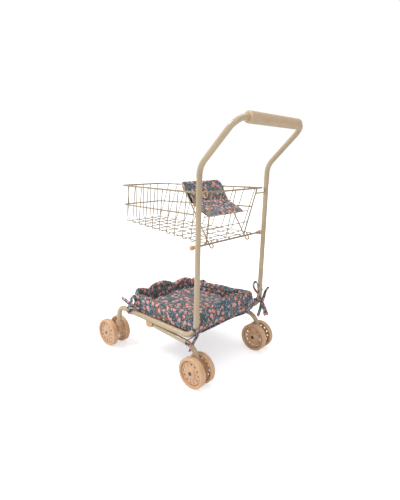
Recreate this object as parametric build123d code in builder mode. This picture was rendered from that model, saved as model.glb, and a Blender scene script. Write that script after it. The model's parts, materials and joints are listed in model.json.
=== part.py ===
from build123d import *
import os
from math import cos, radians, sin, sqrt

os.makedirs("parts", exist_ok=True)

# A doll's shopping trolley: tubular frame on twin wheels, wire basket with a folding
# doll seat, and a padded fabric tray tied to the base. Millimetres, +Z up, forward is -Y,
# +X is the left hand of whoever pushes it. The origin is under the middle of the whole part.

# ---- driving dimensions ----
track = 260.0            # between the two upright posts
wheel_base = 286.0       # from the posts forward to the caster stems
rail_z = 117.0           # height of the base side rails
handle_bend_z = 504.0    # where the handle arms start to lean back
grip_z = 600.0           # height of the push bar
grip_back = 93.0         # how far the push bar stands behind the posts
post_r = 6.2             # handle tube, outside radius
base_r = 6.8             # base tube, outside radius
wall = 1.0               # tube wall
wheel_r = 37.5
wheel_w = 15.0
caster_trail = 26.0      # the caster axle leads its stem by this much
grip_r = 12.0
rim_r = 2.1              # basket rim wire
mid_r = 1.8              # basket middle rim wire
wire_r = 1.15            # thin basket wires
strut_r = 1.75           # back panel legs and seat frame
gap = 0.3                # air left between soft pieces and metal
touch = 0.02             # air left between welded wires

half = track / 2
y_post = (wheel_base + caster_trail + wheel_r - grip_back - grip_r) / 2
y_stem = y_post - wheel_base
axle_z = wheel_r
sides = (("left", 1), ("right", -1))


# ---- helpers ----
def rod(points, radius, bends=None, bore=0.0, mode=Mode.ADD):
    """Round rod or tube through the points, with a tangent arc at each inner point."""
    with BuildLine() as path:
        if bends is None:
            Polyline(*points)
        else:
            FilletPolyline(*points, radius=bends)
    with BuildSketch(Plane(origin=path.line @ 0, z_dir=path.line % 0)) as section:
        Circle(radius)
        if bore > 0:
            Circle(bore, mode=Mode.SUBTRACT)
    sweep(sections=section.sketch, path=path.line, mode=mode)


def disc(centre, direction, radius, length, mode=Mode.ADD):
    """Cylinder that starts at the centre point and runs along the direction."""
    with BuildSketch(Plane(origin=centre, z_dir=direction)) as section:
        Circle(radius)
    extrude(section.sketch, amount=length, mode=mode)


def mix(a, b, t):
    """Value t of the way from a to b."""
    return a + (b - a) * t


# ---- push handle: one bent tube ----
handle_bend_r = 45.0
grip_bend_r = 30.0
socket_top = 185.0
socket_depth = 35.0
screw_z = 173.0
screw_r = 1.75
y_grip = y_post + grip_back

with BuildPart() as handle_tube:
    rod(
        [
            (half, y_post, socket_top - socket_depth),
            (half, y_post, handle_bend_z),
            (half, y_grip, grip_z),
            (-half, y_grip, grip_z),
            (-half, y_post, handle_bend_z),
            (-half, y_post, socket_top - socket_depth),
        ],
        post_r,
        [handle_bend_r, grip_bend_r, grip_bend_r, handle_bend_r],
        post_r - wall,
    )
    for side, sx in sides:
        disc((sx * half, y_post, screw_z), (0, 1, 0), screw_r, base_r * 2, Mode.SUBTRACT)
handle_tube.part.label = "handle_tube"
export_step(handle_tube.part, "parts/handle_tube.step")

grip_half = half - grip_bend_r - 0.5
grip_round = 3.0
with BuildPart() as handle_grip:
    with BuildSketch(Plane.YZ.offset(-grip_half)):
        with Locations((y_grip, grip_z)):
            Circle(grip_r)
            Circle(post_r, mode=Mode.SUBTRACT)
    extrude(amount=2 * grip_half)
    ends = handle_grip.edges().filter_by(GeomType.CIRCLE).filter_by(lambda e: e.radius > post_r + 1)
    fillet(ends, radius=grip_round)
handle_grip.part.label = "handle_grip"
export_step(handle_grip.part, "parts/handle_grip.step")

# ---- base side tubes: post socket, side rail and caster stem in one ----
rear_bend_r = 40.0
front_bend_r = 25.0
stem_end = 51.0
socket_bore = post_r + 0.05

for side, sx in sides:
    with BuildPart() as base_tube:
        rod(
            [
                (sx * half, y_post, socket_top),
                (sx * half, y_post, rail_z),
                (sx * half, y_stem, rail_z),
                (sx * half, y_stem, stem_end),
            ],
            base_r,
            [rear_bend_r, front_bend_r],
            base_r - wall,
        )
        disc((sx * half, y_post, socket_top), (0, 0, -1), socket_bore, socket_depth, Mode.SUBTRACT)
        disc((sx * half, y_post, screw_z), (0, 1, 0), screw_r, base_r * 2, Mode.SUBTRACT)
    base_tube.part.label = f"{side}_base_tube"
    export_step(base_tube.part, f"parts/{side}_base_tube.step")

screw_head_r = 3.4
screw_head_h = 1.8
with BuildPart() as post_screws:
    for side, sx in sides:
        disc((sx * half, y_post + post_r - 3.5, screw_z), (0, 1, 0), screw_r, 4.5)
        disc((sx * half, y_post + base_r, screw_z), (0, 1, 0), screw_head_r, screw_head_h)
    heads = post_screws.edges().filter_by(GeomType.CIRCLE).group_by(Axis.Y)[-1]
    fillet(heads, radius=1.2)
post_screws.part.label = "post_screws"
export_step(post_screws.part, "parts/post_screws.step")

# ---- lower leg frame: rear legs and the cross tube under the tray ----
leg_x = half - 3.0
leg_y = y_post + 2.0
leg_bottom = 29.0
leg_turn_z = 95.0
cross_y = y_post - 158.0
cross_z = rail_z - sqrt((base_r + post_r + touch * 5) ** 2 - (half - leg_x) ** 2)
leg_bend_r = 38.0
cross_bend_r = 22.0
axle_r = 3.0
leg_bends = [leg_bend_r, cross_bend_r, cross_bend_r, leg_bend_r]
leg_path = [
    (leg_x, leg_y, leg_bottom),
    (leg_x, leg_y, leg_turn_z),
    (leg_x, cross_y, cross_z),
    (-leg_x, cross_y, cross_z),
    (-leg_x, leg_y, leg_turn_z),
    (-leg_x, leg_y, leg_bottom),
]

with BuildPart() as lower_leg_frame:
    rod(leg_path, post_r, leg_bends, post_r - wall)
    for side, sx in sides:
        disc((sx * leg_x - post_r, leg_y, axle_z), (1, 0, 0), axle_r, 2 * post_r, Mode.SUBTRACT)
lower_leg_frame.part.label = "lower_leg_frame"
export_step(lower_leg_frame.part, "parts/lower_leg_frame.step")

plug_h = 4.0
with BuildPart() as rear_leg_caps:
    for side, sx in sides:
        disc((sx * leg_x, leg_y, leg_bottom), (0, 0, 1), post_r - wall, plug_h)
        disc((sx * leg_x, leg_y, leg_bottom), (0, 0, -1), post_r, 1.5)
    fillet(rear_leg_caps.edges().group_by(Axis.Z)[0], radius=1.0)
rear_leg_caps.part.label = "rear_leg_caps"
export_step(rear_leg_caps.part, "parts/rear_leg_caps.step")

# Moulded clamps hold the leg frame's front corners under the rails.
clamp_front = cross_y - 11.0
clamp_length = 22.0
clamp_low = cross_z - post_r - 1.2
clamp_in = half - base_r + 0.3
clamp_out = leg_x + post_r + 1.2
with BuildPart() as rail_clamps:
    with BuildSketch(Plane.YZ.offset(-clamp_out)):
        with Locations((clamp_front + clamp_length / 2, (clamp_low + rail_z) / 2)):
            RectangleRounded(clamp_length, rail_z - clamp_low, 6.0)
    extrude(amount=2 * clamp_out)
    with Locations((0, cross_y, rail_z)):
        Box(2 * clamp_in, 3 * clamp_length, 60, mode=Mode.SUBTRACT)
    rod(leg_path, post_r + touch, leg_bends, mode=Mode.SUBTRACT)
    for side, sx in sides:
        disc((sx * half, clamp_front - 5, rail_z), (0, 1, 0), base_r + touch, 2 * clamp_length, Mode.SUBTRACT)
rail_clamps.part.label = "rail_clamps"
export_step(rail_clamps.part, "parts/rail_clamps.step")

# ---- wheels ----
hub_bore = axle_r + 0.05
hub_r = 8.0
counterbore_r = 5.0
counterbore_depth = 3.0
hole_ring_r = 0.6 * wheel_r
hole_r = 2.8
hole_count = 12
web_in = 8.6
web_out = 11.0
groove_depth = 5.5                   # a deep groove parts the rim from the disc


def wheel(x_inner, direction, y):
    """Wheel with its hollow side at x_inner and its face towards the direction."""
    centre = (x_inner, y, axle_z)
    profile = Plane(origin=centre, x_dir=(direction, 0, 0), z_dir=(0, -direction, 0))
    with BuildSketch(profile) as section:
        with BuildLine():
            Polyline(
                (0, hub_bore),
                (0, hub_r - 0.5),
                (web_in, hub_r + 0.7),
                (web_in, 0.70 * wheel_r),
                (0.8, wheel_r - 5.0),
                (0, wheel_r - 4.2),
                (0, wheel_r),
                (wheel_w, wheel_r),
                (wheel_w, 0.84 * wheel_r),
                (wheel_w - 1.0, 0.81 * wheel_r),
                (wheel_w - groove_depth, 0.79 * wheel_r),
                (wheel_w - groove_depth, 0.765 * wheel_r),
                (web_out + 0.6, 0.735 * wheel_r),
                (web_out, 0.42 * wheel_r),
                (wheel_w - 1.4, 0.34 * wheel_r),
                (wheel_w, 0.25 * wheel_r),
                (wheel_w, counterbore_r),
                (wheel_w - counterbore_depth, counterbore_r),
                (wheel_w - counterbore_depth, hub_bore),
                close=True,
            )
        make_face()
        shoulders = section.vertices().group_by(Axis.Y)[-1]
        fillet(shoulders.sort_by(Axis.X)[-1], radius=3.5)
        fillet(section.vertices().group_by(Axis.Y)[-1].sort_by(Axis.X)[0], radius=1.8)
    revolve(section.sketch, axis=Axis(centre, (1, 0, 0)))
    with BuildSketch(Plane(origin=centre, x_dir=(0, 1, 0), z_dir=(direction, 0, 0))) as holes:
        with PolarLocations(hole_ring_r, hole_count):
            Circle(hole_r)
    extrude(holes.sketch, amount=wheel_w, mode=Mode.SUBTRACT)


def axle(x_middle, y, reach):
    """Axle through a pair of wheels, reaching the same way to both sides."""
    disc((x_middle - reach, y, axle_z), (1, 0, 0), axle_r, 2 * reach)


def axle_caps(x_middle, y, face):
    """Push-on caps, one on each axle end, sunk in the wheels' counterbores."""
    for direction in (1, -1):
        start = (x_middle + direction * (face - counterbore_depth + 0.3), y, axle_z)
        with BuildSketch(Plane(origin=start, z_dir=(direction, 0, 0))) as ring:
            Circle(counterbore_r - 0.8)
            Circle(axle_r, mode=Mode.SUBTRACT)
        extrude(ring.sketch, amount=1.6)


rear_gap = 9.2                       # from the leg's middle to a wheel's hollow side
rear_face = rear_gap + wheel_w
front_gap = 13.0
front_face = front_gap + wheel_w
axle_short = 0.6                     # the axle ends this far inside the wheel's face
y_front = y_stem - caster_trail

for side, sx in sides:
    for place, px in (("outer", sx), ("inner", -sx)):
        with BuildPart() as rear_wheel:
            wheel(sx * leg_x + px * rear_gap, px, leg_y)
        rear_wheel.part.label = f"rear_{side}_{place}_wheel"
        export_step(rear_wheel.part, f"parts/rear_{side}_{place}_wheel.step")
        with BuildPart() as front_wheel:
            wheel(sx * half + px * front_gap, px, y_front)
        front_wheel.part.label = f"front_{side}_{place}_wheel"
        export_step(front_wheel.part, f"parts/front_{side}_{place}_wheel.step")

with BuildPart() as rear_axles:
    for side, sx in sides:
        axle(sx * leg_x, leg_y, rear_face - axle_short)
rear_axles.part.label = "rear_axles"
export_step(rear_axles.part, "parts/rear_axles.step")

with BuildPart() as rear_axle_caps:
    for side, sx in sides:
        axle_caps(sx * leg_x, leg_y, rear_face)
rear_axle_caps.part.label = "rear_axle_caps"
export_step(rear_axle_caps.part, "parts/rear_axle_caps.step")

washer_r = 7.0
with BuildPart() as rear_washers:
    for side, sx in sides:
        for direction in (1, -1):
            start = (sx * leg_x + direction * post_r, leg_y, axle_z)
            with BuildSketch(Plane(origin=start, z_dir=(direction, 0, 0))):
                Circle(washer_r)
                Circle(axle_r, mode=Mode.SUBTRACT)
            extrude(amount=rear_gap - post_r - 0.1)
rear_washers.part.label = "rear_washers"
export_step(rear_washers.part, "parts/rear_washers.step")

# ---- casters: moulded swivel body between the two wheels, on the tube's end ----
stem_clear = 0.05
sleeve_r = 9.3
sleeve_top = 73.0
sleeve_bottom = 44.0
lip_r = 10.2
lip_h = 3.0
sleeve_step_low = 48.0               # two grooves round the sleeve part it into stacked collars
sleeve_step_high = 58.5
step_h = 1.8
step_depth = 1.2
hub_outer_r = 9.5
web_half = 6.5
retainer_r = 2.5
seat_z = stem_end - 0.2              # floor of the sleeve's bore, just under the tube's end
retainer_head_r = 4.5
retainer_head_h = 2.2

for side, sx in sides:
    stem = (sx * half, y_stem)
    with BuildPart() as caster_body:
        with BuildSketch(Plane.YZ.offset(sx * half - web_half)):
            with Locations((y_front, axle_z)):
                Circle(hub_outer_r)
            with Locations((y_stem, (sleeve_bottom + sleeve_top - 12) / 2)):
                Rectangle(2 * sleeve_r - 4, sleeve_top - 12 - sleeve_bottom)
            make_hull()
        extrude(amount=2 * web_half)
        fillet(caster_body.edges().filter_by(GeomType.LINE).filter_by(lambda e: e.length > 20), radius=2.0)
        disc((sx * half - front_gap + 0.15, y_front, axle_z), (1, 0, 0), hub_outer_r, 2 * front_gap - 0.3)
        disc((*stem, sleeve_bottom), (0, 0, 1), sleeve_r, sleeve_top - sleeve_bottom)
        disc((*stem, sleeve_top - lip_h), (0, 0, 1), lip_r, lip_h)
        for step_z in (sleeve_step_low, sleeve_step_high):
            with BuildSketch(Plane(origin=(*stem, step_z))):
                Circle(2 * sleeve_r)
                Circle(sleeve_r - step_depth, mode=Mode.SUBTRACT)
            extrude(amount=step_h, mode=Mode.SUBTRACT)
        disc((*stem, seat_z), (0, 0, 1), base_r + stem_clear, sleeve_top, Mode.SUBTRACT)
        disc((*stem, sleeve_bottom - 20), (0, 0, 1), retainer_r + stem_clear, 60, Mode.SUBTRACT)
        disc((*stem, sleeve_bottom + 1.5), (0, 0, -1), retainer_head_r + 0.4, 30, Mode.SUBTRACT)
        disc((sx * half - front_gap, y_front, axle_z), (1, 0, 0), axle_r, 2 * front_gap, Mode.SUBTRACT)
    caster_body.part.label = f"{side}_caster_body"
    export_step(caster_body.part, f"parts/{side}_caster_body.step")

    with BuildPart() as caster_axle:
        axle(sx * half, y_front, front_face - axle_short)
    caster_axle.part.label = f"{side}_caster_axle"
    export_step(caster_axle.part, f"parts/{side}_caster_axle.step")

    with BuildPart() as caster_caps:
        axle_caps(sx * half, y_front, front_face)
    caster_caps.part.label = f"{side}_caster_caps"
    export_step(caster_caps.part, f"parts/{side}_caster_caps.step")

with BuildPart() as stem_plugs:
    for side, sx in sides:
        disc((sx * half, y_stem, stem_end), (0, 0, 1), base_r - wall, 14.0)
        disc((sx * half, y_stem, stem_end), (0, 0, 1), retainer_r, 10.0, Mode.SUBTRACT)
stem_plugs.part.label = "stem_plugs"
export_step(stem_plugs.part, "parts/stem_plugs.step")

with BuildPart() as caster_screws:
    for side, sx in sides:
        foot = (sx * half, y_stem, sleeve_bottom + 1.5 - 0.1)
        disc(foot, (0, 0, 1), retainer_r, stem_end + 10.0 - foot[2])
        disc(foot, (0, 0, -1), retainer_head_r, retainer_head_h)
    fillet(caster_screws.edges().group_by(Axis.Z)[0], radius=1.0)
caster_screws.part.label = "caster_screws"
export_step(caster_screws.part, "parts/caster_screws.step")

# ---- wire basket ----
# It narrows to the front, so that trolleys nest, and its side wires lean back as they rise.
basket_front = y_post - 334.0
basket_rear = y_post - 4.0
rim_half_rear = 121.0
rim_half_front = 73.0
floor_half_rear = 106.0
floor_half_front = 63.0
rim_z_rear = 449.0
rim_z_front = 441.5
mid_z_rear = 400.0
mid_z_front = 389.0
floor_z_rear = 331.0
floor_z_front = 342.0
side_wires = 10
first_wire = y_post - 316.0          # the front side wire, at the middle rim's height
side_pitch = 31.0
lean_up = 14.5                       # how far a side wire's top stands behind its middle
lean_down = 13.0
rim_corner_r = 14.0
floor_corner_r = 8.0
floor_run = 14.0                     # where a side wire's foot meets its floor wire
front_wires = 5
front_pitch = 27.0
back_reach = 77.0                    # half length of the floor's rearmost cross wire
y_back_wire = y_post - 27.2


def along(y):
    """0 at the basket's rear, 1 at its front."""
    return (y - basket_rear) / (basket_front - basket_rear)


def rim_half(y):
    return mix(rim_half_rear, rim_half_front, along(y))


def rim_z(y):
    return mix(rim_z_rear, rim_z_front, along(y))


def mid_z(y):
    return mix(mid_z_rear, mid_z_front, along(y))


def floor_half(y):
    return mix(floor_half_rear, floor_half_front, along(y))


def floor_z(y):
    return mix(floor_z_rear, floor_z_front, along(y))


with BuildPart() as basket_top_rim:
    for sx in (1, -1):
        rod(
            [
                (0, basket_rear, rim_z_rear),
                (sx * rim_half_rear, basket_rear, rim_z_rear),
                (sx * rim_half_front, basket_front, rim_z_front),
                (0, basket_front, rim_z_front),
            ],
            rim_r,
            [5.0, rim_corner_r],
        )
basket_top_rim.part.label = "basket_top_rim"
export_step(basket_top_rim.part, "parts/basket_top_rim.step")


def side_wire(i):
    """Top and foot of side wire i on the left, as points."""
    y_mid = first_wire + i * side_pitch
    y_top = y_mid + lean_up
    y_foot = y_mid - lean_down
    top = (rim_half(y_top) - rim_r - wire_r - 0.1, y_top, rim_z(y_top) + 1.0)
    foot = (floor_half(y_foot), y_foot, floor_z(y_foot))
    return top, foot


def wire_at(i, z):
    """Point of side wire i at the height z."""
    top, foot = side_wire(i)
    t = (z - foot[2]) / (top[2] - foot[2])
    return tuple(mix(foot[k], top[k], t) for k in range(3))


for side, sx in sides:
    with BuildPart() as wall_wires:
        for i in range(side_wires):
            top, foot = side_wire(i)
            rod(
                [
                    (sx * top[0], top[1], top[2]),
                    (sx * foot[0], foot[1], foot[2]),
                    (sx * (foot[0] - floor_run), foot[1], foot[2]),
                ],
                wire_r,
                [floor_corner_r],
            )
    wall_wires.part.label = f"basket_{side}_wires"
    export_step(wall_wires.part, f"parts/basket_{side}_wires.step")

with BuildPart() as basket_cross_wires:
    for i in range(side_wires):
        top, foot = side_wire(i)
        reach = foot[0] - floor_run
        rod([(-reach, foot[1], foot[2]), (reach, foot[1], foot[2])], wire_r)
    rod([(-back_reach, y_back_wire, floor_z(y_back_wire)), (back_reach, y_back_wire, floor_z(y_back_wire))], wire_r)
basket_cross_wires.part.label = "basket_cross_wires"
export_step(basket_cross_wires.part, "parts/basket_cross_wires.step")

# The middle rim hugs the side wires from outside and ends at the last of them.
first_mid = wire_at(0, mid_z(first_wire))
last_mid = wire_at(side_wires - 1, mid_z(first_wire + (side_wires - 1) * side_pitch))
mid_stand_off = mid_r + wire_r + 0.5
mid_slope = (last_mid[0] - first_mid[0]) / (last_mid[1] - first_mid[1])
mid_front_half = first_mid[0] + mid_slope * (basket_front - first_mid[1]) + mid_stand_off
with BuildPart() as basket_mid_rim:
    rod(
        [
            (last_mid[0] + mid_stand_off, last_mid[1] + 3.0, last_mid[2]),
            (mid_front_half, basket_front, mid_z_front),
            (-mid_front_half, basket_front, mid_z_front),
            (-last_mid[0] - mid_stand_off, last_mid[1] + 3.0, last_mid[2]),
        ],
        mid_r,
        [rim_corner_r, rim_corner_r],
    )
basket_mid_rim.part.label = "basket_mid_rim"
export_step(basket_mid_rim.part, "parts/basket_mid_rim.step")

# Front wires drop inside the rims and turn under onto the floor; the floor's long wires
# fan out from their feet, lie on the cross wires and rest on the rod behind.
y_front_wire = basket_front + rim_r + wire_r + 0.1
long_lift = 2 * wire_r + touch
y_foot_end = y_front_wire + 13.0
rod_y = y_post - 14.0
rod_z = 330.0
rod_r = 2.5
long_end_y = rod_y + 2.0
long_end_z = rod_z + rod_r + wire_r + touch
long_fan = (floor_half_rear - 15.0) / (2 * front_pitch)


def long_wire(i, y):
    """Point of the floor's long wire i at the place y along the basket."""
    x = (i - (front_wires - 1) / 2) * front_pitch
    t = (y - y_front_wire) / (long_end_y - y_front_wire)
    return (mix(x, x * long_fan, t), y, mix(floor_z(y_front_wire) + long_lift, long_end_z, t))


with BuildPart() as basket_front_wires:
    for i in range(front_wires):
        foot = long_wire(i, y_front_wire)
        rod([(foot[0], foot[1], rim_z_front + 1.0), foot, long_wire(i, y_foot_end)], wire_r, [9.0])
basket_front_wires.part.label = "basket_front_wires"
export_step(basket_front_wires.part, "parts/basket_front_wires.step")

with BuildPart() as basket_long_wires:
    for i in range(front_wires):
        rod([long_wire(i, y_foot_end), long_wire(i, long_end_y)], wire_r)
basket_long_wires.part.label = "basket_long_wires"
export_step(basket_long_wires.part, "parts/basket_long_wires.step")

# ---- back panel: two splayed legs hung behind the back rim, with thin wires between ----
leg_foot = (74.5, y_post - 24.0, 329.0)
leg_head = (88.5, basket_rear + 1.02 * (rim_r + strut_r) + 0.7, 452.0)
panel_wire_z = 363.0


def panel_leg(z):
    t = (z - leg_foot[2]) / (leg_head[2] - leg_foot[2])
    return tuple(mix(leg_foot[k], leg_head[k], t) for k in range(3))


with BuildPart() as back_panel_legs:
    for side, sx in sides:
        rod(
            [
                (sx * leg_foot[0], leg_foot[1], leg_foot[2]),
                (sx * leg_head[0], leg_head[1], leg_head[2]),
            ],
            strut_r,
        )
back_panel_legs.part.label = "back_panel_legs"
export_step(back_panel_legs.part, "parts/back_panel_legs.step")

with BuildPart() as back_panel_wires:
    x, y, z = panel_leg(panel_wire_z)
    y_wire = y - strut_r - wire_r - 0.1
    rod([(-x - 3.0, y_wire, z), (x + 3.0, y_wire, z)], wire_r)
    mid_foot = (0, y_back_wire + 3.5, floor_z(y_back_wire) + long_lift + 2 * wire_r)
    mid_head = (0, basket_rear + 1.03 * (rim_r + wire_r) + 0.5, rim_z_rear + 2.0)
    rod([mid_foot, mid_head], wire_r)
back_panel_wires.part.label = "back_panel_wires"
export_step(back_panel_wires.part, "parts/back_panel_wires.step")

# ---- the rod that carries the basket's rear and the seat, and what holds it ----
knob_r = 6.0
knob_x = half + 4.0
with BuildPart() as basket_rod:
    disc((-knob_x, rod_y, rod_z), (1, 0, 0), rod_r, 2 * knob_x)
basket_rod.part.label = "basket_rod"
export_step(basket_rod.part, "parts/basket_rod.step")

with BuildPart() as rod_knobs:
    for side, sx in sides:
        with Locations((sx * knob_x, rod_y, rod_z)):
            Sphere(knob_r)
        disc((sx * half, rod_y, rod_z), (0, 1, 0), 3.0, y_post - rod_y)
        disc((sx * (half - 8.0), rod_y, rod_z), (sx, 0, 0), 4.2, 12.0)
    for side, sx in sides:
        disc((sx * half, y_post, rod_z - 20), (0, 0, 1), post_r, 40, Mode.SUBTRACT)
        disc((sx * (half - 10.0), rod_y, rod_z), (sx, 0, 0), rod_r, 14.0, Mode.SUBTRACT)
rod_knobs.part.label = "rod_knobs"
export_step(rod_knobs.part, "parts/rod_knobs.step")

# Small saddles on the posts' inner sides hold the back rim's corners.
saddle_r = 4.0
with BuildPart() as rim_saddles:
    for side, sx in sides:
        disc((sx * (half - post_r + 1.0), y_post, rim_z_rear), (-sx, 0, 0), saddle_r, 4.5)
    for side, sx in sides:
        disc((sx * half, y_post, rim_z_rear - 20), (0, 0, 1), post_r, 40, Mode.SUBTRACT)
    with BuildSketch(Plane.XY.offset(rim_z_rear - 10)):
        with Locations((0, basket_rear + rim_r - 10)):
            Rectangle(2 * track, 20)
    extrude(amount=20, mode=Mode.SUBTRACT)
rim_saddles.part.label = "rim_saddles"
export_step(rim_saddles.part, "parts/rim_saddles.step")

# A short peg under the back rim on the right, and a bag ring on the left.
peg_z = 437.5
peg_r = 2.0
ring_r = 7.0
ring_wire_r = 1.1
ring_x = 106.0
peg_y = panel_leg(peg_z)[1] + 1.03 * (strut_r + peg_r)
with BuildPart() as rim_peg:
    disc((-(half - post_r + 0.6), peg_y, peg_z), (1, 0, 0), peg_r, 42.0)
    disc((-half, y_post, peg_z - 20), (0, 0, 1), post_r, 40, Mode.SUBTRACT)
    fillet(rim_peg.edges().group_by(Axis.X)[-1], radius=0.9)
rim_peg.part.label = "rim_peg"
export_step(rim_peg.part, "parts/rim_peg.step")

ring_z = rim_z_rear + rim_r + ring_wire_r + 0.1 - ring_r
with BuildPart() as rim_ring:
    with BuildSketch(Plane(origin=(ring_x, basket_rear, ring_z), x_dir=(1, 0, 0), z_dir=(0, -1, 0))):
        with Locations((0, ring_r)):
            Circle(ring_wire_r)
    revolve(axis=Axis((ring_x, basket_rear, ring_z), (1, 0, 0)))
rim_ring.part.label = "rim_ring"
export_step(rim_ring.part, "parts/rim_ring.step")

# ---- folding doll seat ----
# The back frame hooks under the rod and leans forward. Its own directions in the YZ plane:
# up runs along its legs, and rear is square to them, towards the pusher.
seat_lean = radians(33.8)
up = (-sin(seat_lean), cos(seat_lean))
rear = (cos(seat_lean), sin(seat_lean))
seat_half = 71.0
hook_r = rod_r + strut_r + 0.5
back_length = 162.0
bar_at = 100.6                       # the cross bar's place along the legs
bar_r = 1.5
hook_tail = 7.0
hook_drop = 11.0                     # the hooks reach this far past the rod's axis, plus their bend
back_corner_r = 14.0


def seat_point(x, along_up, along_rear):
    """Point on the seat back, from the rod's axis, up its legs and to the rear."""
    y = rod_y + along_up * up[0] + along_rear * rear[0]
    z = rod_z + along_up * up[1] + along_rear * rear[1]
    return (x, y, z)


with BuildPart() as seat_back_frame:
    rod(
        [
            seat_point(seat_half, hook_tail, hook_r),
            seat_point(seat_half, -hook_drop, hook_r),
            seat_point(seat_half, -hook_drop, -hook_r),
            seat_point(seat_half, back_length, -hook_r),
            seat_point(-seat_half, back_length, -hook_r),
            seat_point(-seat_half, -hook_drop, -hook_r),
            seat_point(-seat_half, -hook_drop, hook_r),
            seat_point(-seat_half, hook_tail, hook_r),
        ],
        strut_r,
        [hook_r - 0.01, hook_r - 0.01, back_corner_r, back_corner_r, hook_r - 0.01, hook_r - 0.01],
    )
seat_back_frame.part.label = "seat_back_frame"
export_step(seat_back_frame.part, "parts/seat_back_frame.step")

bar_rear = -hook_r + strut_r + bar_r + touch
with BuildPart() as seat_cross_bar:
    rod([seat_point(-76.0, bar_at, bar_rear), seat_point(76.0, bar_at, bar_rear)], bar_r)
seat_cross_bar.part.label = "seat_cross_bar"
export_step(seat_cross_bar.part, "parts/seat_cross_bar.step")

cover_half = 75.0
cover_low = bar_at + 5.0
cover_high = back_length + 3.5
cover_thick = 8.0
seat_plane = Plane(origin=seat_point(0, 0, -hook_r), x_dir=(1, 0, 0), z_dir=(0, -rear[0], -rear[1]))
with BuildPart() as seat_back_cover:
    with BuildSketch(seat_plane.offset(-cover_thick / 2)):
        with Locations((0, (cover_low + cover_high) / 2)):
            RectangleRounded(2 * cover_half, cover_high - cover_low, 12.0)
    extrude(amount=cover_thick)
seat_back_cover.part.label = "seat_back_cover"
export_step(seat_back_cover.part, "parts/seat_back_cover.step")

# The seat pan turns on the cross bar and slopes down to the rear.
pan_drop = radians(24.0)
pan_run = (cos(pan_drop), -sin(pan_drop))
pan_normal = (sin(pan_drop), cos(pan_drop))
pan_length = 53.0
pan_half = 64.0
pan_wire_r = 1.25
pan_bar_r = 1.4
eye_r = bar_r + pan_wire_r + 0.15
bar_point = seat_point(0, bar_at, bar_rear)


def pan_point(x, along_run, along_normal=0.0):
    """Point on the seat pan, from the cross bar's axis."""
    y = bar_point[1] + along_run * pan_run[0] + along_normal * pan_normal[0]
    z = bar_point[2] + along_run * pan_run[1] + along_normal * pan_normal[1]
    return (x, y, z)


with BuildPart() as seat_pan_frame:
    for side, sx in sides:
        rod([pan_point(sx * pan_half, eye_r), pan_point(sx * pan_half, pan_length - 0.6)], pan_wire_r)
        eye_plane = Plane(origin=pan_point(sx * pan_half, 0), x_dir=(0, 1, 0), z_dir=(1, 0, 0))
        with BuildSketch(eye_plane.offset(-pan_wire_r)) as eye:
            Circle(eye_r + pan_wire_r)
            Circle(eye_r - pan_wire_r, mode=Mode.SUBTRACT)
        extrude(eye.sketch, amount=2 * pan_wire_r)
    rod([pan_point(-82.0, pan_length), pan_point(82.0, pan_length)], pan_bar_r)
seat_pan_frame.part.label = "seat_pan_frame"
export_step(seat_pan_frame.part, "parts/seat_pan_frame.step")

pan_cover_half = 67.0
pan_cover_thick = 5.0
pan_plane = Plane(origin=pan_point(0, 0), x_dir=(1, 0, 0), z_dir=(0, pan_normal[0], pan_normal[1]))
pan_cover_from = 5.5
pan_cover_to = pan_length + 1.6
with BuildPart() as seat_pan_cover:
    with BuildSketch(pan_plane.offset(-pan_cover_thick / 2)):
        with Locations((0, (pan_cover_from + pan_cover_to) / 2)):
            RectangleRounded(2 * pan_cover_half, pan_cover_to - pan_cover_from, 4.0)
    extrude(amount=pan_cover_thick)
seat_pan_cover.part.label = "seat_pan_cover"
export_step(seat_pan_cover.part, "parts/seat_pan_cover.step")

snap_r = 3.0
with BuildPart() as seat_snaps:
    for side, sx in sides:
        for face in (1, -1):
            foot = pan_point(sx * 60.5, pan_length - 6.0, face * pan_cover_thick / 2)
            disc(foot, (0, face * pan_normal[0], face * pan_normal[1]), snap_r, 1.1)
seat_snaps.part.label = "seat_snaps"
export_step(seat_snaps.part, "parts/seat_snaps.step")

# ---- padded tray: floor, mattress and four walls, the front one scalloped ----
tray_half = half - base_r - gap
tray_rear = y_post - base_r - 1.5
tray_front = y_post - 250.0
tray_bottom = cross_z + post_r + gap
tray_floor_h = 5.0
tray_wall = 9.0
left_top = 170.0                     # the walls are uneven, lowest at the right
back_top = 174.0
right_top = 160.0
mattress_h = 15.0
wall_base = tray_bottom + tray_floor_h
tray_middle = (tray_rear + tray_front) / 2
tray_length = tray_rear - tray_front

with BuildPart() as tray_floor:
    with BuildSketch(Plane.XY.offset(tray_bottom)):
        with Locations((0, tray_middle)):
            RectangleRounded(2 * tray_half, tray_length, 30.0)
    extrude(amount=tray_floor_h)
tray_floor.part.label = "tray_floor"
export_step(tray_floor.part, "parts/tray_floor.step")

inner_half = tray_half - tray_wall
inner_length = tray_length - 2 * tray_wall
with BuildPart() as tray_mattress:
    with BuildSketch(Plane.XY.offset(wall_base)):
        with Locations((0, tray_middle)):
            RectangleRounded(2 * inner_half - 1, inner_length - 1, 22.0)
    extrude(amount=mattress_h)
    fillet(tray_mattress.edges().group_by(Axis.Z)[-1], radius=4.0)
tray_mattress.part.label = "tray_mattress"
export_step(tray_mattress.part, "parts/tray_mattress.step")

for side, sx, side_top in (("left", 1, left_top), ("right", -1, right_top)):
    with BuildPart() as side_wall:
        with BuildSketch(Plane.XY.offset(wall_base)):
            with Locations((sx * (tray_half - tray_wall / 2), tray_middle)):
                Rectangle(tray_wall, inner_length)
        extrude(amount=side_top - wall_base)
        fillet(side_wall.edges().group_by(Axis.Z)[-1].filter_by(Axis.Y), radius=3.5)
    side_wall.part.label = f"tray_{side}_wall"
    export_step(side_wall.part, f"parts/tray_{side}_wall.step")

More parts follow.
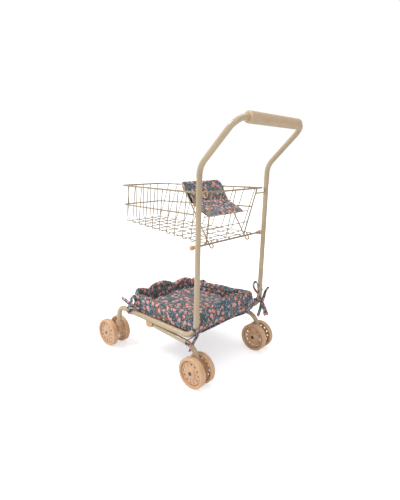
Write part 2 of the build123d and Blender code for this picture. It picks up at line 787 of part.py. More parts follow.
with BuildPart() as tray_back_wall:
    with BuildSketch(Plane.XY.offset(wall_base)):
        with Locations((0, tray_rear - tray_wall / 2)):
            Rectangle(2 * tray_half, tray_wall)
    extrude(amount=back_top - wall_base)
    fillet(tray_back_wall.edges().group_by(Axis.Z)[-1].filter_by(Axis.X), radius=3.5)
tray_back_wall.part.label = "tray_back_wall"
export_step(tray_back_wall.part, "parts/tray_back_wall.step")

scallop_low = 157.0
scallop_r = 90.0
scallops = ((98.0, 171.5), (13.0, 173.5), (-74.0, 163.0))
with BuildPart() as tray_front_wall:
    with BuildSketch(Plane.XZ.offset(-tray_front)):
        for scallop_x, scallop_top in scallops:
            with Locations((scallop_x, scallop_top - scallop_r)):
                Circle(scallop_r)
        with Locations((0, scallop_low - tray_half)):
            Rectangle(4 * tray_half, 2 * tray_half)
        with Locations((0, wall_base + tray_half)):
            Rectangle(2 * tray_half, 2 * tray_half, mode=Mode.INTERSECT)
    extrude(amount=-tray_wall)
tray_front_wall.part.label = "tray_front_wall"
export_step(tray_front_wall.part, "parts/tray_front_wall.step")

# ---- ribbon ties: a band round the tube, a knot, and bow loops and tails ----
ribbon_w = 8.0
ribbon_t = 1.2


def strap(start, end, width_dir):
    """Flat piece of ribbon from start to end, as wide as the ribbon along width_dir."""
    run = Vector(*end) - Vector(*start)
    across = Vector(*width_dir)
    with BuildSketch(Plane(origin=start, x_dir=across, z_dir=run)) as section:
        Rectangle(ribbon_w, ribbon_t)
    extrude(section.sketch, amount=run.length)


def tie(knot, tube_centre, tube_dir, arms):
    """Ribbon tied round a base tube beside the tray, with arms going out from its knot."""
    band = Plane(origin=tube_centre, z_dir=tube_dir).offset(-ribbon_w / 2)
    with BuildSketch(band) as ring:
        Circle(base_r + gap + ribbon_t)
        Circle(base_r + gap, mode=Mode.SUBTRACT)
    extrude(ring.sketch, amount=ribbon_w)
    with Locations(knot):
        Box(8, 7, 8)
    along_tube = Vector(*tube_dir)
    to_knot = Vector(*knot) - Vector(*tube_centre)
    out = (to_knot - along_tube * to_knot.dot(along_tube)).normalized()
    strap(knot, Vector(*tube_centre) + out * (base_r + gap + ribbon_t / 2), tube_dir)
    for end, width_dir in arms:
        strap(knot, end, width_dir)
    with Locations((0, tray_middle, rail_z)):
        Box(2 * tray_half + 0.4, tray_length + 0.4, 80, mode=Mode.SUBTRACT)


# The rear ties sit on the tubes' bends, behind the tray's corners.
rear_tie_z = 142.0
tie_turn = (rail_z + rear_bend_r - rear_tie_z) / rear_bend_r
tie_shift = rear_bend_r * (1 - sqrt(1 - tie_turn**2))
rear_knot_x = half + 5.0
rear_knot_y = y_post + 10.0
rear_knot_z = 139.0
rear_arms = {
    "left": (
        ((rear_knot_x + 6, y_post - 16, 110), (0, 0, 1)),
        ((rear_knot_x + 5, y_post + 10, 118), (0, 1, 0)),
        ((rear_knot_x + 6, y_post - 8, 86), (0, 1, 0)),
    ),
    "right": (
        ((-rear_knot_x + 19, y_post + 9, 181), (0, 0, 1)),
        ((-rear_knot_x - 25, y_post + 12, 168), (0, 0, 1)),
        ((-rear_knot_x + 14, y_post + 11, 98), (0, 1, 0)),
        ((-rear_knot_x - 25, y_post + 12, 88), (0, 1, 0)),
    ),
}
front_tie_y = tray_front + 22.0
front_knot_x = half + base_r + 2.0
front_knot_z = rail_z + 19.0
for side, sx in sides:
    with BuildPart() as rear_ribbon:
        tie(
            (sx * rear_knot_x, rear_knot_y, rear_knot_z),
            (sx * half, y_post - tie_shift, rear_tie_z),
            (0, tie_turn, sqrt(1 - tie_turn**2)),
            rear_arms[side],
        )
    rear_ribbon.part.label = f"rear_{side}_ribbon"
    export_step(rear_ribbon.part, f"parts/rear_{side}_ribbon.step")

    with BuildPart() as front_ribbon:
        tie(
            (sx * front_knot_x, front_tie_y, front_knot_z),
            (sx * half, front_tie_y, rail_z),
            (0, 1, 0),
            [
                ((sx * (front_knot_x + 2), front_tie_y - 34, rail_z + 30), (0, 0, 1)),
                ((sx * front_knot_x, front_tie_y + 16, rail_z + 48), (0, 1, 0)),
                ((sx * front_knot_x, front_tie_y - 3, rail_z - 6), (0, 1, 0)),
            ],
        )
    front_ribbon.part.label = f"front_{side}_ribbon"
    export_step(front_ribbon.part, f"parts/front_{side}_ribbon.step")
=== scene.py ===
import json
import math

import bpy
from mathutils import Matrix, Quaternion, Vector, noise


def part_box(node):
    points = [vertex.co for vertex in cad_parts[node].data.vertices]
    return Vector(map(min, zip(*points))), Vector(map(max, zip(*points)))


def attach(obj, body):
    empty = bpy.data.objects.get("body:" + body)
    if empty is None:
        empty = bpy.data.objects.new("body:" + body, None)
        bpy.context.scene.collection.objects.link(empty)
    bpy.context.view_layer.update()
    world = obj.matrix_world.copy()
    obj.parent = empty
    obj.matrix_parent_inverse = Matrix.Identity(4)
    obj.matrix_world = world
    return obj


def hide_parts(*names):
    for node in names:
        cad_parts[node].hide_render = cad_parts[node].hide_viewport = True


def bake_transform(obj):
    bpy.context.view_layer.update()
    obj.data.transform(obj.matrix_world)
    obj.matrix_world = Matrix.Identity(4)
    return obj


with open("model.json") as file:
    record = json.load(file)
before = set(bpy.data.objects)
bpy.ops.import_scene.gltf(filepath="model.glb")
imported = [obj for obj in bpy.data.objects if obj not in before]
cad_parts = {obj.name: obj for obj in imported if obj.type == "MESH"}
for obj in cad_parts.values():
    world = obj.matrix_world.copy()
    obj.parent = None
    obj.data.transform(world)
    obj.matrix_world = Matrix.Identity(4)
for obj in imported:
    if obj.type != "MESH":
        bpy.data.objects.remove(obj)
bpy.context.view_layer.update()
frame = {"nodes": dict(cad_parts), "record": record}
MM = 0.001


def lerp(a, b, t):
    return a + (b - a) * t


def smooth(a, b, x):
    """0 below a, 1 above b, with an even change between."""
    t = min(1.0, max(0.0, (x - a) / (b - a)))
    return t * t * (3 - 2 * t)


# ---------------------------------------------------------------- camera, floor and light
eye = Vector((0.7401, 0.6629, 0.5276))
yaw, pitch, roll = (math.radians(a) for a in (48.78, 13.79, 1.28))
look = Vector((-math.sin(yaw) * math.cos(pitch), -math.cos(yaw) * math.cos(pitch), -math.sin(pitch)))
cam_data = bpy.data.cameras.new("camera")
cam_data.lens = 27.92
cam_data.sensor_width = 36.0
cam_data.clip_start = 0.01
cam = bpy.data.objects.new("camera", cam_data)
bpy.context.collection.objects.link(cam)
cam.location = eye
cam.rotation_mode = "QUATERNION"
cam.rotation_quaternion = look.to_track_quat("-Z", "Y") @ Quaternion((0, 0, 1), roll)
bpy.context.scene.camera = cam

scene = bpy.context.scene
scene.view_settings.view_transform = "Standard"
scene.view_settings.look = "None"

world = bpy.data.worlds.new("studio")
scene.world = world
world.use_nodes = True
world.node_tree.nodes["Background"].inputs["Color"].default_value = (1.0, 1.0, 1.0, 1.0)
light_path = world.node_tree.nodes.new("ShaderNodeLightPath")
strength = world.node_tree.nodes.new("ShaderNodeMath")
strength.operation = "MULTIPLY_ADD"
strength.inputs[1].default_value = 0.50
strength.inputs[2].default_value = 0.52
world.node_tree.links.new(light_path.outputs["Is Camera Ray"], strength.inputs[0])
world.node_tree.links.new(strength.outputs[0], world.node_tree.nodes["Background"].inputs["Strength"])


def softbox(name, place, aim, size, power):
    data = bpy.data.lights.new(name, "AREA")
    data.shape = "RECTANGLE"
    data.size, data.size_y = size
    data.energy = power
    ob = bpy.data.objects.new(name, data)
    bpy.context.collection.objects.link(ob)
    ob.location = place
    ob.rotation_mode = "QUATERNION"
    ob.rotation_quaternion = (Vector(aim) - Vector(place)).to_track_quat("-Z", "Y")
    return ob


softbox("key_softbox", (0.9, -0.9, 1.7), (0, 0, 0.3), (0.5, 0.8), 24)
softbox("fill_softbox", (1.3, 1.2, 1.1), (0, 0, 0.3), (0.35, 1.4), 6)
softbox("top_softbox", (-0.3, 0.3, 2.0), (0, 0, 0.2), (1.0, 1.0), 8)

floor_mesh = bpy.data.meshes.new("floor")
reach = 6.0
corners = [(-reach, -reach, 0), (reach, -reach, 0), (reach, reach, 0), (-reach, reach, 0)]
floor_mesh.from_pydata(corners, [], [(0, 1, 2, 3)])
floor = bpy.data.objects.new("floor", floor_mesh)
bpy.context.collection.objects.link(floor)


# ---------------------------------------------------------------- materials
class Nodes:
    """Small helper that builds node trees from expressions."""

    def __init__(self, name):
        self.material = bpy.data.materials.new(name)
        self.material.use_nodes = True
        self.tree = self.material.node_tree
        self.shader = self.tree.nodes["Principled BSDF"]

    def put(self, socket, value):
        if isinstance(value, bpy.types.NodeSocket):
            self.tree.links.new(value, socket)
        else:
            socket.default_value = value

    def node(self, kind, inputs=(), **settings):
        made = self.tree.nodes.new(kind)
        for key, value in settings.items():
            setattr(made, key, value)
        for key, value in dict(inputs).items():
            self.put(made.inputs[key], value)
        return made

    def math(self, operation, a, b=0.0, c=0.0):
        made = self.node("ShaderNodeMath", operation=operation)
        for socket, value in zip(made.inputs, (a, b, c)):
            self.put(socket, value)
        return made.outputs[0]

    def vmath(self, operation, a, b=(0, 0, 0), out=0):
        made = self.node("ShaderNodeVectorMath", operation=operation)
        self.put(made.inputs[0], a)
        if operation == "SCALE":
            self.put(made.inputs["Scale"], b)
        else:
            self.put(made.inputs[1], b)
        return made.outputs[out]

    def step(self, value, low, high, a=0.0, b=1.0):
        """a below low and b above high, smooth between."""
        made = self.node("ShaderNodeMapRange", interpolation_type="SMOOTHSTEP")
        for key, v in (("Value", value), ("From Min", low), ("From Max", high), ("To Min", a), ("To Max", b)):
            self.put(made.inputs[key], v)
        return made.outputs["Result"]

    def mix(self, factor, a, b):
        made = self.node("ShaderNodeMix", data_type="RGBA")
        self.put(made.inputs[0], factor)
        self.put(made.inputs[6], a if isinstance(a, bpy.types.NodeSocket) else (*a, 1.0))
        self.put(made.inputs[7], b if isinstance(b, bpy.types.NodeSocket) else (*b, 1.0))
        return made.outputs[2]

    def noise(self, vector, scale, detail=2.0, rough=0.5, out="Fac"):
        made = self.node("ShaderNodeTexNoise", {"Scale": scale, "Detail": detail, "Roughness": rough})
        self.tree.links.new(vector, made.inputs["Vector"])
        return made.outputs[out]

    def place(self):
        return self.node("ShaderNodeTexCoord").outputs["Object"]

    def bump(self, height, strength, distance, normal=None):
        made = self.node("ShaderNodeBump", {"Strength": strength, "Distance": distance})
        self.put(made.inputs["Height"], height)
        if normal is not None:
            self.put(made.inputs["Normal"], normal)
        return made.outputs["Normal"]

    def finish(self, color, roughness, normal=None, **fixed):
        linked = isinstance(color, bpy.types.NodeSocket)
        self.put(self.shader.inputs["Base Color"], color if linked else (*color, 1.0))
        self.put(self.shader.inputs["Roughness"], roughness)
        if normal is not None:
            self.put(self.shader.inputs["Normal"], normal)
        for key, value in fixed.items():
            self.shader.inputs[key.replace("_", " ")].default_value = value
        return self.material


def srgb(r, g, b):
    """Linear colour of an sRGB one given as 0 to 255."""
    return tuple((v / 255 / 12.92) if v <= 10 else ((v / 255 + 0.055) / 1.055) ** 2.4 for v in (r, g, b))


def powder_coat(name, light, dark):
    """Sand powder coat: fine orange peel, faint unevenness and a soft shine."""
    n = Nodes(name)
    at = n.place()
    cloud = n.noise(at, 14, 3)
    peel = n.noise(at, 900, 2)
    color = n.mix(n.step(cloud, 0.35, 0.7), light, dark)
    rough = n.step(n.noise(at, 60, 2), 0.3, 0.7, 0.32, 0.42)
    return n.finish(color, rough, n.bump(peel, 0.02, 0.0001), Coat_Weight=0.5, Coat_Roughness=0.12)


def tan_plastic(name, light, dark, rough_low, rough_high, coat, speckle):
    """Moulded tan plastic with a faint wood-like mottle and a fine speckle."""
    n = Nodes(name)
    at = n.place()
    stretched = n.node("ShaderNodeMapping", {"Vector": at, "Scale": (1.0, 2.2, 1.6)}).outputs["Vector"]
    mottle = n.noise(stretched, 55, 4, 0.6)
    fine = n.noise(at, 420, 3)
    color = n.mix(n.step(mottle, 0.32, 0.72), light, dark)
    color = n.mix(n.step(fine, 0.45, 0.8, 0.0, speckle), color, dark)
    rough = n.step(mottle, 0.3, 0.7, rough_low, rough_high)
    return n.finish(color, rough, n.bump(fine, 0.03, 0.0001), Coat_Weight=coat, Coat_Roughness=0.3)


def bright_steel(name, light, dark):
    """Plated steel with fine turning marks."""
    n = Nodes(name)
    at = n.place()
    stretched = n.node("ShaderNodeMapping", {"Vector": at, "Scale": (30.0, 1.0, 1.0)}).outputs["Vector"]
    marks = n.noise(stretched, 60, 3)
    color = n.mix(marks, light, dark)
    return n.finish(color, n.step(marks, 0.2, 0.8, 0.22, 0.4), n.bump(marks, 0.1, 0.0002), Metallic=1.0)


def floral(name):
    """Printed cotton: teal and green ground with roses, buds, leaves and small sprigs, and a plain weave."""
    n = Nodes(name)
    at = n.node("ShaderNodeAttribute", attribute_name="cloth").outputs["Vector"]
    drift = n.noise(at, 50, 2, out="Color")
    drift = n.vmath("SCALE", n.vmath("SUBTRACT", drift, (0.5, 0.5, 0.5)), 0.003)
    print_at = n.vmath("ADD", at, drift)

    def cell(scale, offset, randomness=1.0):
        """The nearest cell's middle, the way to it in metres, and its random numbers."""
        shifted = n.vmath("ADD", print_at, offset)
        settings = {"Scale": scale, "Randomness": randomness}
        made = n.node("ShaderNodeTexVoronoi", settings, voronoi_dimensions="2D")
        n.put(made.inputs["Vector"], shifted)
        away = n.vmath("SUBTRACT", shifted, made.outputs["Position"])
        parts = n.node("ShaderNodeSeparateXYZ", {"Vector": away})
        chance = n.node("ShaderNodeSeparateColor", {"Color": made.outputs["Color"]})
        return parts.outputs[0], parts.outputs[1], chance.outputs

    def turned(x, y, share):
        """x and y turned by a random share of a full turn."""
        angle = n.math("MULTIPLY", share, 2 * math.pi)
        c, s = n.math("COSINE", angle), n.math("SINE", angle)
        return (
            n.math("ADD", n.math("MULTIPLY", x, c), n.math("MULTIPLY", y, s)),
            n.math("SUBTRACT", n.math("MULTIPLY", y, c), n.math("MULTIPLY", x, s)),
        )

    def drop(x, y, length, width):
        """Mask of a pointed oval of that half length and half width."""
        u = n.math("DIVIDE", x, length)
        v = n.math("DIVIDE", y, width)
        r = n.math("ADD", n.math("POWER", n.math("ABSOLUTE", u), 1.5), n.math("MULTIPLY", v, v))
        return n.step(r, 0.85, 1.1, 1.0, 0.0)

    cloud = n.noise(at, 42, 3)
    ground = n.mix(n.step(cloud, 0.44, 0.56), srgb(86, 98, 112), srgb(76, 90, 80))
    ground = n.mix(n.step(n.noise(at, 170, 2), 0.52, 0.66, 0.0, 0.6), ground, srgb(112, 136, 152))

    # dark green leaves
    x, y, c = cell(84, (0.13, 0.41, 0))
    x, y = turned(x, y, c[0])
    leaf = n.math("MULTIPLY", drop(x, y, 0.0058, 0.0022), n.math("GREATER_THAN", c[1], 0.35))
    ground = n.mix(leaf, ground, srgb(58, 76, 66))
    # small light blue sprigs
    x, y, c = cell(165, (0.71, 0.27, 0))
    away = n.math("SQRT", n.math("ADD", n.math("MULTIPLY", x, x), n.math("MULTIPLY", y, y)))
    sprig = n.math("MULTIPLY", n.step(away, 0.0010, 0.0017, 1.0, 0.0), n.math("GREATER_THAN", c[1], 0.35))
    ground = n.mix(sprig, ground, srgb(156, 182, 204))
    # orange leaves
    x, y, c = cell(66, (0.37, 0.93, 0))
    x, y = turned(x, y, c[0])
    orange = n.math("MULTIPLY", drop(x, y, 0.0046, 0.0022), n.math("GREATER_THAN", c[1], 0.35))
    ground = n.mix(orange, ground, srgb(192, 100, 64))
    # pink buds
    x, y, c = cell(78, (0.57, 0.11, 0))
    x, y = turned(x, y, c[0])
    bud = n.math("MULTIPLY", drop(x, y, 0.0036, 0.0023), n.math("GREATER_THAN", c[1], 0.68))
    ground = n.mix(bud, ground, n.mix(c[2], srgb(228, 148, 141), srgb(240, 176, 166)))
    # roses: a lobed outline with rings of petals and a warm heart
    x, y, c = cell(56, (0.0, 0.0, 0), 0.75)
    x, y = turned(x, y, c[0])
    wide = n.math("MULTIPLY", y, 1.2)
    r = n.math("SQRT", n.math("ADD", n.math("MULTIPLY", x, x), n.math("MULTIPLY", wide, wide)))
    angle = n.math("ARCTAN2", y, x)
    lobes = n.math("COSINE", n.math("MULTIPLY", angle, 5.0))
    reach_of = n.math("MULTIPLY_ADD", lobes, 0.13, 0.87)
    size = n.step(c[1], 0.0, 1.0, 0.0044, 0.0068)
    inside = n.math("DIVIDE", r, n.math("MULTIPLY", size, reach_of))
    rose = n.math("MULTIPLY", n.step(inside, 0.92, 1.04, 1.0, 0.0), n.math("GREATER_THAN", c[2], 0.12))
    swirl = n.math("SINE", n.math("ADD", n.math("MULTIPLY", inside, 13.0), n.math("MULTIPLY", angle, 2.0)))
    petal = n.mix(n.step(swirl, -0.2, 0.9), srgb(243, 182, 171), srgb(231, 152, 145))
    petal = n.mix(n.step(inside, 0.1, 0.24, 1.0, 0.0), petal, srgb(176, 84, 72))
    petal = n.mix(n.step(inside, 0.84, 0.98), petal, srgb(206, 116, 112))
    color = n.mix(rose, ground, petal)

    parts = n.node("ShaderNodeSeparateXYZ", {"Vector": at})
    warp = n.math("SINE", n.math("MULTIPLY", parts.outputs[0], 2 * math.pi / 0.0007))
    weft = n.math("SINE", n.math("MULTIPLY", parts.outputs[1], 2 * math.pi / 0.0007))
    weave = n.math("MULTIPLY", warp, weft)
    thread = n.noise(at, 1500, 2)
    color = n.mix(n.step(weave, -1.0, 1.0, 0.0, 0.10), color, srgb(40, 44, 48))
    crush = n.noise(at, 90, 4, 0.6)
    normal = n.bump(crush, 0.35, 0.0012)
    normal = n.bump(n.math("ADD", weave, n.math("MULTIPLY", thread, 0.6)), 0.25, 0.0002, normal)
    rough = n.step(crush, 0.3, 0.7, 0.78, 0.92)
    return n.finish(color, rough, normal, Sheen_Weight=0.25, Sheen_Roughness=0.5, Specular_IOR_Level=0.25)


def plain_cloth(name, color, dark):
    """Plain cotton with a weave, for linings and bindings."""
    n = Nodes(name)
    at = n.node("ShaderNodeAttribute", attribute_name="cloth").outputs["Vector"]
    parts = n.node("ShaderNodeSeparateXYZ", {"Vector": at})
    warp = n.math("SINE", n.math("MULTIPLY", parts.outputs[0], 2 * math.pi / 0.0008))
    weft = n.math("SINE", n.math("MULTIPLY", parts.outputs[1], 2 * math.pi / 0.0008))
    weave = n.math("MULTIPLY", warp, weft)
    mixed = n.mix(n.step(n.noise(at, 200, 3), 0.3, 0.7), color, dark)
    normal = n.bump(weave, 0.3, 0.0002, n.bump(n.noise(at, 120, 3), 0.3, 0.001))
    return n.finish(mixed, 0.88, normal, Sheen_Weight=0.2, Specular_IOR_Level=0.25)


def paper_floor():
    """White paper. To the camera alone it glows, so that only soft shadows show."""
    n = Nodes("floor_paper")
    at = n.place()
    color = n.mix(n.noise(at, 3, 2), (0.90, 0.90, 0.92), (0.93, 0.93, 0.95))
    n.shader.inputs["Emission Color"].default_value = (0.97, 0.98, 1.0, 1.0)
    far = n.vmath("LENGTH", at, out=1)
    seen = n.node("ShaderNodeLightPath").outputs["Is Camera Ray"]
    glow = n.step(far, 0.40, 1.4, 0.50, 1.0)
    n.put(n.shader.inputs["Emission Strength"], n.math("MULTIPLY", glow, seen))
    return n.finish(color, 0.9, Specular_IOR_Level=0.1)


coat = powder_coat("powder_coat", srgb(193, 173, 142), srgb(184, 164, 132))
# painted shade: the wires get a darker copy of the tubes' sand powder coat, standing in for the shade they
# sit in
shaded_wire_coat = powder_coat("shaded_wire_coat", srgb(166, 145, 113), srgb(156, 135, 104))
grip_stuff = tan_plastic("grip_foam", srgb(208, 182, 150), srgb(202, 175, 143), 0.50, 0.60, 0.0, 0.1)
wheel_stuff = tan_plastic("wheel_plastic", srgb(216, 176, 137), srgb(209, 166, 126), 0.30, 0.38, 0.3, 0.12)
caster_stuff = tan_plastic("caster_plastic", srgb(208, 168, 131), srgb(196, 155, 118), 0.38, 0.48, 0.15, 0.15)
steel = bright_steel("bright_steel", srgb(205, 204, 202), srgb(168, 166, 164))
axle_steel = bright_steel("axle_steel", srgb(120, 118, 116), srgb(84, 82, 80))
print_cloth = floral("floral_cloth")
# painted shade: near-black cloth for the inner layer of the seat covers, standing in for the shadow inside
# the sleeves
shade_lining = plain_cloth("painted_shade_lining", srgb(44, 46, 52), srgb(34, 35, 40))
floor_mesh.materials.append(paper_floor())

by_slot = {
    "powder_coat": coat,
    "grip_foam": grip_stuff,
    "wheel_plastic": wheel_stuff,
    "caster_plastic": caster_stuff,
    "bright_steel": steel,
    "floral_fabric": print_cloth,
    "ribbon": print_cloth,
}
for part in frame["record"]["subparts"]:
    node = frame["nodes"][part["node"]]
    node.data.materials.clear()
    stuff = by_slot[part["material_slot"]]
    if stuff is steel and part["node"].endswith(("_axle", "_axles", "_caps")):
        stuff = axle_steel
    # basket and back panel wires take the darker copy of the coat, which is painted shade
    if stuff is coat and part["node"].startswith(("basket_", "back_panel_")):
        stuff = shaded_wire_coat
    node.data.materials.append(stuff)


# ---------------------------------------------------------------- mesh helpers
def mesh_object(name, points, faces, material, cloth=None, smooth_faces=True):
    """Mesh piece in metres. cloth gives each point its place on the flat cloth, in metres."""
    mesh = bpy.data.meshes.new(name)
    mesh.from_pydata([tuple(p) for p in points], [], faces)
    mesh.validate()
    mesh.materials.append(material)
    if cloth is not None:
        flat = mesh.attributes.new("cloth", "FLOAT_VECTOR", "POINT")
        for i, uv in enumerate(cloth):
            flat.data[i].vector = (uv[0], uv[1], 0.0)
    for face in mesh.polygons:
        face.use_smooth = smooth_faces
    mesh.update()
    made = bpy.data.objects.new(name, mesh)
    bpy.context.collection.objects.link(made)
    return made


def subdivide(ob, levels=1):
    made = ob.modifiers.new("smooth", "SUBSURF")
    made.levels = levels
    made.render_levels = levels
    return made


def wrinkle(place, size, seed):
    """Gentle seeded unevenness, about -1 to 1."""
    return noise.noise(Vector(place) / size + Vector((seed * 7.3, seed * 3.1, seed * 5.7)))


# ---------------------------------------------------------------- fabric by simulation
def swell(ob, pinned, pressure, cap, grow):
    """Blows fabric up between its pinned seams by cloth simulation; cap is how far a point may move."""
    group = ob.vertex_groups.new(name="seams")
    group.add(pinned, 1.0, "REPLACE")
    made = ob.modifiers.new("cloth", "CLOTH")
    settings = made.settings
    settings.quality = 6
    settings.mass = 0.25
    settings.bending_stiffness = 0.4
    settings.shrink_min = -grow
    settings.use_pressure = True
    settings.uniform_pressure_force = pressure
    settings.vertex_group_mass = "seams"
    settings.effector_weights.gravity = 0.0
    made.point_cache.frame_start = 1
    made.point_cache.frame_end = 20
    for frame_number in range(1, 21):
        scene.frame_set(frame_number)
    blown = ob.evaluated_get(bpy.context.evaluated_depsgraph_get()).data
    places = [v.co.copy() for v in blown.vertices]
    for vertex, at in zip(ob.data.vertices, places):
        move = at - vertex.co
        if move.length > cap:
            move *= cap / move.length
        vertex.co = vertex.co + move
    ob.modifiers.remove(made)
    ob.vertex_groups.clear()
    scene.frame_set(1)


# ---------------------------------------------------------------- tray
tray_low, tray_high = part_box("tray_floor")
left_low, left_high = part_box("tray_left_wall")
right_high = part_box("tray_right_wall")[1]
wall_t = left_high.x - left_low.x
wall_base = left_low.z
half_x = tray_high.x - wall_t / 2
loop_front = tray_low.y + wall_t / 2
loop_rear = tray_high.y - wall_t / 2


def lift(x, y):
    """How far the tray's soft base is drawn up at the rear, most of all at the left."""
    return 0.006 * smooth(0.035, 0.112, y) * smooth(-0.090, -0.010, x)


def loop_points(step):
    """Points round the middle of the walls, anticlockwise from the front right, with outward directions."""
    dense = []
    corners = ((1, -1, -90, 0.034), (1, 1, 0, 0.014), (-1, 1, 90, 0.007), (-1, -1, 180, 0.024))
    for sx, sy, start, corner in corners:
        cx = sx * (half_x - corner)
        cy = loop_front + corner if sy < 0 else loop_rear - corner
        for k in range(9):
            a = math.radians(start + k * 90 / 8)
            out = Vector((math.cos(a), math.sin(a), 0))
            dense.append((Vector((cx, cy, 0)) + out * corner, out))
    made = []
    for i, (p, out) in enumerate(dense):
        q, out_q = dense[(i + 1) % len(dense)]
        count = max(1, round((q - p).length / step))
        for k in range(count):
            t = k / count
            made.append((p.lerp(q, t), out.lerp(out_q, t).normalized()))
    return made


def scallop_height(x):
    """Top of the front wall: three flat arcs that meet in cusps."""
    tops = [0.157]
    for middle, top in ((0.098, 0.1715), (0.013, 0.1735), (-0.074, 0.163)):
        tops.append(top - 0.090 + math.sqrt(0.090**2 - min(0.089, abs(x - middle)) ** 2))
    sharp = 1500.0
    return math.log(sum(math.exp(sharp * (t - 0.157)) for t in tops)) / sharp + 0.157


def wall_height(p):
    """Height of the wall's top at a place on the loop: the rear wall arches, the right one falls forward."""
    u = (p.x + half_x) / (2 * half_x)
    v = (p.y - loop_front) / (loop_rear - loop_front)
    front = lerp(right_high.z - 0.011, left_high.z - 0.0015, u)
    back = lerp(right_high.z + 0.006, left_high.z - 0.006, u) + 0.0115 * (1 - (p.x / half_x) ** 2)
    plain = lerp(front, back, v) + 0.0014 * wrinkle((p.x, p.y, 0), 0.05, 3)
    return lerp(plain, scallop_height(p.x), smooth(loop_front + 0.014, loop_front + 0.002, p.y))


def dent(at, middle, width):
    return math.exp(-(((at - middle) / width) ** 2))


ring = loop_points(0.0038)
outer_steps, inner_steps, top_steps = 19, 15, 6
per = outer_steps + top_steps - 1 + inner_steps
points, cloth, faces, seams = [], [], [], []
travel = 0.0
for i, (p, out) in enumerate(ring):
    if i:
        travel += (p - ring[i - 1][0]).length
    top = wall_height(p)
    base = wall_base + lift(p.x, p.y)
    half_t = wall_t / 2 - 0.0006
    v = (p.y - loop_front) / (loop_rear - loop_front)
    past_x = abs(p.x) - half_x
    past_y = abs(p.y - (loop_front + loop_rear) / 2) - (loop_rear - loop_front) / 2
    corner_near = 1 - smooth(0.006, 0.030, math.hypot(past_x, past_y))
    on_left = smooth(half_x - 0.012, half_x - 0.002, p.x)
    on_rear = smooth(loop_rear - 0.020, loop_rear - 0.004, p.y)
    crease_z = lerp(0.1275, 0.1215, smooth(0.25, 0.75, v))
    bow_in = (0.0085 * on_rear + 0.0015) * (0.75 + 0.25 * math.cos(p.x / half_x * 1.5))
    section = []
    for k in range(outer_steps):
        t = k / (outer_steps - 1)
        z = lerp(base, top - half_t, t)
        puff = 0.0022 * math.sin(math.pi * t) ** 0.8 * (1 - 0.6 * corner_near)
        crease = (0.0008 + 0.0026 * on_left) * dent(z, crease_z, 0.0018)
        tuck = 0.0020 * dent(z, base, 0.0030)
        section.append((half_t + puff - crease - tuck, z))
    for k in range(1, top_steps):
        a = math.pi * k / top_steps
        section.append((half_t * math.cos(a), top - half_t + half_t * math.sin(a)))
    for k in range(inner_steps):
        t = 1 - k / (inner_steps - 1)
        z = lerp(base, top - half_t, t)
        puff = 0.0014 * math.sin(math.pi * t) ** 0.8
        roll = 0.0018 * dent(z, top - 0.008, 0.007) - 0.0034 * dent(z, top - 0.017, 0.0022)
        section.append((-half_t - puff - roll, z))
    walk = 0.0
    for k, (off, z) in enumerate(section):
        if k:
            walk += math.hypot(off - section[k - 1][0], z - section[k - 1][1])
        q = p + out * off
        bend = 0.0010 * wrinkle((q.x, q.y, z * 0.6), 0.030, 1) + 0.0006 * wrinkle((q.x, q.y, z), 0.012, 2)
        q = q + out * bend
        share = max(0.0, (z - base) / (top - base))
        q.y -= bow_in * share * share * (1 if out.y > -0.5 else 0)
        z += 0.0007 * wrinkle((q.x, q.y, z), 0.025, 5)
        if k in (0, per - 1) or abs(z - crease_z) < 0.0012 * on_left or corner_near > 0.93 and k % 3 == 0:
            seams.append(len(points))
        points.append((q.x, q.y, z))
        cloth.append((travel, walk + 0.3))
for i in range(len(ring)):
    j = (i + 1) % len(ring)
    for k in range(per):
        m = (k + 1) % per
        faces.append((i * per + k, j * per + k, j * per + m, i * per + m))
tray_walls = mesh_object("tray_padded_walls", points, faces, print_cloth, cloth)
swell(tray_walls, seams, 3.0, 0.0025, 0.03)
subdivide(tray_walls)
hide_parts("tray_left_wall", "tray_right_wall", "tray_back_wall", "tray_front_wall")
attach(tray_walls, "frame")


